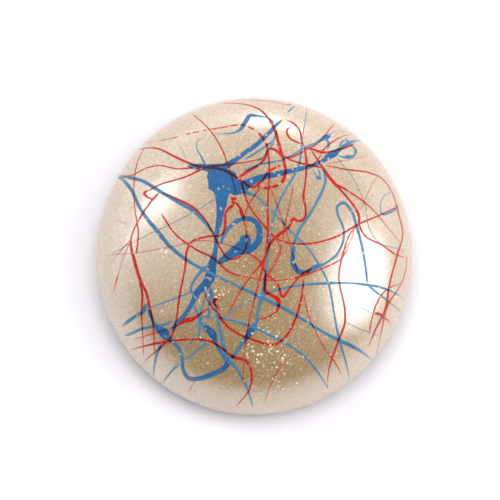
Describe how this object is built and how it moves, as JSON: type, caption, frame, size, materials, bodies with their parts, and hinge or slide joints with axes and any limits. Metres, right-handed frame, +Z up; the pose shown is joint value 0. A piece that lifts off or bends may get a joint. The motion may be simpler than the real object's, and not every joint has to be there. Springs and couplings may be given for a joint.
{
  "type": "drizzled ink cake",
  "caption": "Round domed cake of pearl ink with a flat base, drizzled with thin looping trails of red and blue ink and sealed under a clear gloss coat.",
  "frame": {"origin": "centre of the flat base, on the surface that the cake stands on", "axes": "+Z up through the top of the dome, +X to the right and +Y away from a viewer at the front"},
  "size_m": [0.04, 0.0408, 0.012],
  "materials": {
    "pearl": "pressed ink with fine mica, pearly tan, satin under the coat",
    "blue_ink": "transparent blue ink laid in thin trails, glossy",
    "red_ink": "transparent red ink laid in thin trails, glossy",
    "clear": "clear gloss coat, smooth"
  },
  "bodies": {
    "root": {"pearl_core": "pearl", "blue_main_pool": "blue_ink", "blue_trunk": "blue_ink", "blue_right_arm": "blue_ink", "blue_second_arm": "blue_ink", "blue_upper_bar": "blue_ink", "blue_upper_rail": "blue_ink", "blue_upper_loop": "blue_ink", "blue_curl": "blue_ink", "blue_centre_loop": "blue_ink", "blue_centre_pool": "blue_ink", "blue_lower_loop": "blue_ink", "blue_left_arm": "blue_ink", "blue_left_bar": "blue_ink", "blue_left_drop": "blue_ink", "blue_left_tail": "blue_ink", "blue_small_pool": "blue_ink", "blue_long_thread": "blue_ink", "blue_left_thread": "blue_ink", "blue_swan_thread": "blue_ink", "blue_rising_thread": "blue_ink", "blue_falling_thread": "blue_ink", "blue_bent_drop": "blue_ink", "blue_low_thread": "blue_ink", "blue_cross_thread": "blue_ink", "blue_steep_thread": "blue_ink", "blue_right_thread": "blue_ink", "blue_slant_thread": "blue_ink", "blue_rim_hook": "blue_ink", "red_upper_run": "red_ink", "red_side_run": "red_ink", "red_left_loop": "red_ink", "red_crest_loop": "red_ink", "red_hook": "red_ink", "red_diagonal": "red_ink", "red_plumb_line": "red_ink", "red_heavy_run": "red_ink", "red_right_run": "red_ink", "red_right_branch": "red_ink", "red_small_loop": "red_ink", "red_half_ring": "red_ink", "red_beaded_run": "red_ink", "red_crossbar": "red_ink", "red_left_run": "red_ink", "red_far_left_run": "red_ink", "red_double_run": "red_ink", "red_knot_in": "red_ink", "red_knot_out": "red_ink", "red_smile": "red_ink", "red_belly_run": "red_ink", "red_zigzag": "red_ink", "red_low_run": "red_ink", "red_dart_run": "red_ink", "red_basket": "red_ink", "red_small_bend": "red_ink", "red_steep_thread": "red_ink", "red_shoulder_run": "red_ink", "red_rim_run": "red_ink", "gloss_coat": "clear"}
  },
  "joints": []
}
